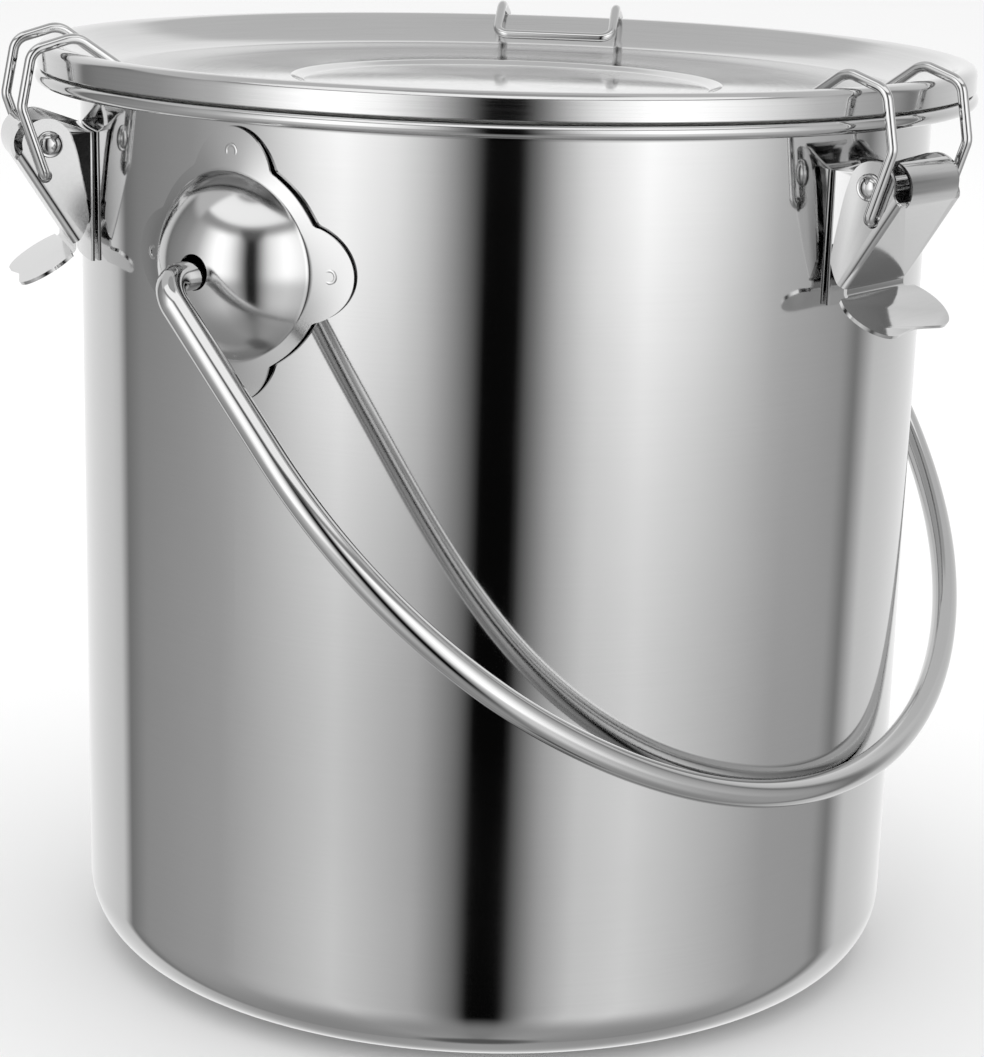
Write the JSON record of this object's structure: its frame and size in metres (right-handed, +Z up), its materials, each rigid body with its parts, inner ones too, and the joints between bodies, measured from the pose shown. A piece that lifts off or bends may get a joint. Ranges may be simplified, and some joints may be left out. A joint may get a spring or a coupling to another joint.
{
  "type": "milk can",
  "caption": "Lidded stainless steel pail for milk, with a swinging wire handle on domed ears and toggle latches that clamp the sealed lid to the rim.",
  "frame": {"origin": "centre of the flat base, on the surface the can stands on", "axes": "+Z up the can's centre line; the two handle ears lie on the X axis; the handle rests against the wall on the -Y side"},
  "size_m": [0.3182, 0.287, 0.2787],
  "materials": {
    "sheet_steel": "bright polished stainless sheet",
    "ear_steel": "bright polished stainless pressing",
    "wire_steel": "bright drawn stainless wire",
    "latch_steel": "bright stamped stainless strip",
    "silicone": "matt food-grade silicone"
  },
  "bodies": {
    "pail": {"pail_body": "sheet_steel", "ear_plate_right": "ear_steel", "ear_plate_left": "ear_steel", "front_latch_bracket": "latch_steel", "front_latch_pin": "latch_steel", "right_latch_bracket": "latch_steel", "right_latch_pin": "latch_steel", "left_latch_bracket": "latch_steel", "left_latch_pin": "latch_steel"},
    "lid": {"lid": "sheet_steel", "lid_gasket": "silicone"},
    "handle": {"handle": "wire_steel"},
    "front_lever": {"front_latch_lever": "latch_steel"},
    "front_bail": {"front_latch_bail": "wire_steel"},
    "right_lever": {"right_latch_lever": "latch_steel"},
    "right_bail": {"right_latch_bail": "wire_steel"},
    "left_lever": {"left_latch_lever": "latch_steel"},
    "left_bail": {"left_latch_bail": "wire_steel"}
  },
  "joints": [
    {"name": "lid_turn", "type": "hinge", "parent": "pail", "child": "lid", "pos_m": [0, 0, 0.264], "axis": [0, 0, 1], "continuous": true},
    {"name": "handle_swing", "type": "hinge", "parent": "pail", "child": "handle", "pos_m": [0, 0, 0.2223], "axis": [-1, 0, 0], "range_deg": [0, 277]},
    {"name": "front_lever_open", "type": "hinge", "parent": "pail", "child": "front_lever", "pos_m": [-0.0096, -0.13726, 0.2478], "axis": [-0.9976, 0.0698, 0], "range_deg": [0, 120]},
    {"name": "front_bail_swing", "type": "hinge", "parent": "front_lever", "child": "front_bail", "pos_m": [-0.0097, -0.13866, 0.239], "axis": [-0.9976, 0.0698, 0], "range_deg": [-150, 0]},
    {"name": "right_lever_open", "type": "hinge", "parent": "pail", "child": "right_lever", "pos_m": [0.1226, 0.06247, 0.2478], "axis": [0.454, -0.891, 0], "range_deg": [0, 120]},
    {"name": "right_bail_swing", "type": "hinge", "parent": "right_lever", "child": "right_bail", "pos_m": [0.12385, 0.0631, 0.239], "axis": [0.454, -0.891, 0], "range_deg": [-150, 0]},
    {"name": "left_lever_open", "type": "hinge", "parent": "pail", "child": "left_lever", "pos_m": [-0.10618, 0.08752, 0.2478], "axis": [0.6361, 0.7716, 0], "range_deg": [0, 120]},
    {"name": "left_bail_swing", "type": "hinge", "parent": "left_lever", "child": "left_bail", "pos_m": [-0.10726, 0.08841, 0.239], "axis": [0.6361, 0.7716, 0], "range_deg": [-150, 0]}
  ],
  "couplings": [
    {"joint": "front_bail_swing", "follows": "front_lever_open", "ratio": -1.25},
    {"joint": "right_bail_swing", "follows": "right_lever_open", "ratio": -1.25},
    {"joint": "left_bail_swing", "follows": "left_lever_open", "ratio": -1.25}
  ]
}
